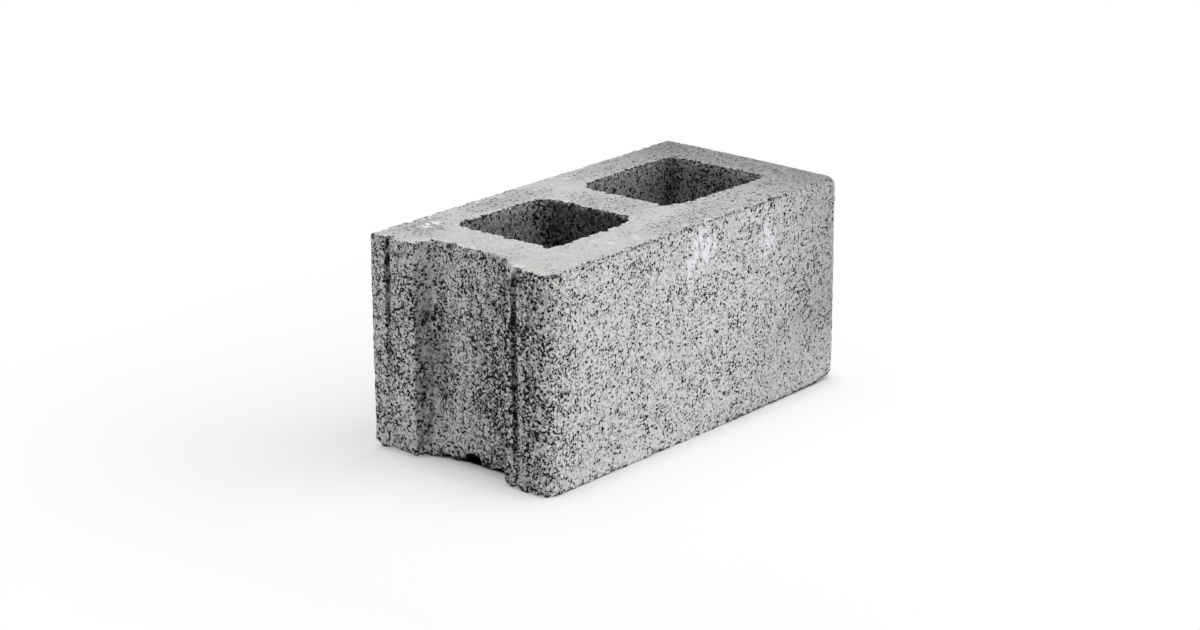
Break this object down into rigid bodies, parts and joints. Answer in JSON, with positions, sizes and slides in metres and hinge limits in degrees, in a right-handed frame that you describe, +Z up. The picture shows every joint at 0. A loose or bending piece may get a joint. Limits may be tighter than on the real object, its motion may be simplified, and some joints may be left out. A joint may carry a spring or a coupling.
{
  "type": "hollow concrete block",
  "caption": "Hollow concrete masonry block with tapered upright cores, a recessed end with grooved ears and a plain end.",
  "frame": {"origin": "middle of the bottom face, on the level floor that the block stands on", "axes": "+X along the length from the recessed end to the plain end, +Y through the wall from the front face to the rear face, +Z up"},
  "size_m": [0.397, 0.196, 0.19],
  "materials": {
    "concrete": "light grey zero-slump concrete as it leaves the mould: open pitted sides of fine grains, a smoother cement-rich top face, dry and matte"
  },
  "bodies": {
    "root": {"concrete_block": "concrete"}
  },
  "joints": []
}
